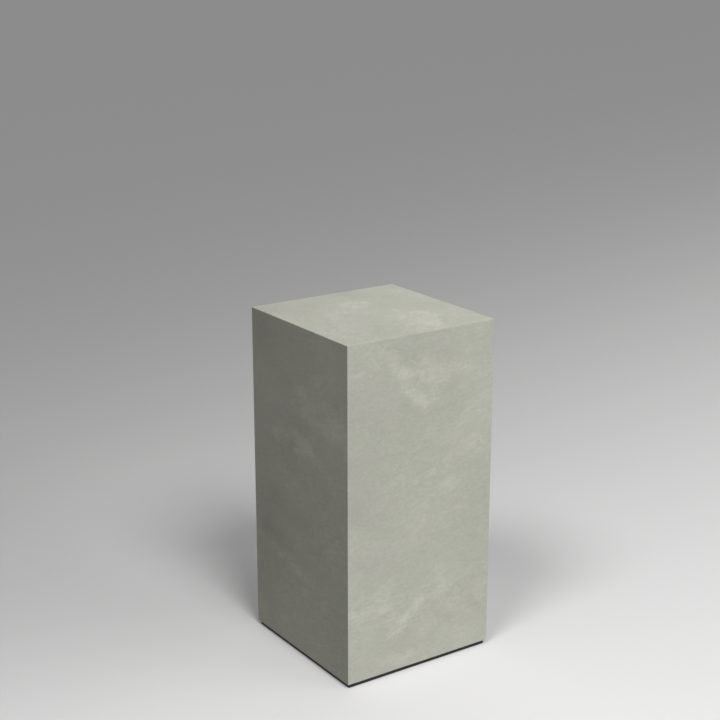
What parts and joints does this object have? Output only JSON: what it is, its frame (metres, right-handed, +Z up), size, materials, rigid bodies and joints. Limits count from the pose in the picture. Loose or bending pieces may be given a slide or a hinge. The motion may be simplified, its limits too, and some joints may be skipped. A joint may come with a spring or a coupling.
{
  "type": "display plinth",
  "caption": "Square upright display plinth: a seamless hollow box with a flat top and a grey-green mineral skim, open below, on a set-in black base frame.",
  "frame": {"origin": "on the floor, under the middle of the base", "axes": "+Z up along the plinth; -Y faces the viewer's right and -X the viewer's left in the picture"},
  "size_m": [0.3, 0.3, 0.608],
  "materials": {
    "mineral_skim": "matte",
    "black_base": "matte"
  },
  "bodies": {
    "root": {"body": "mineral_skim", "base": "black_base"}
  },
  "joints": []
}
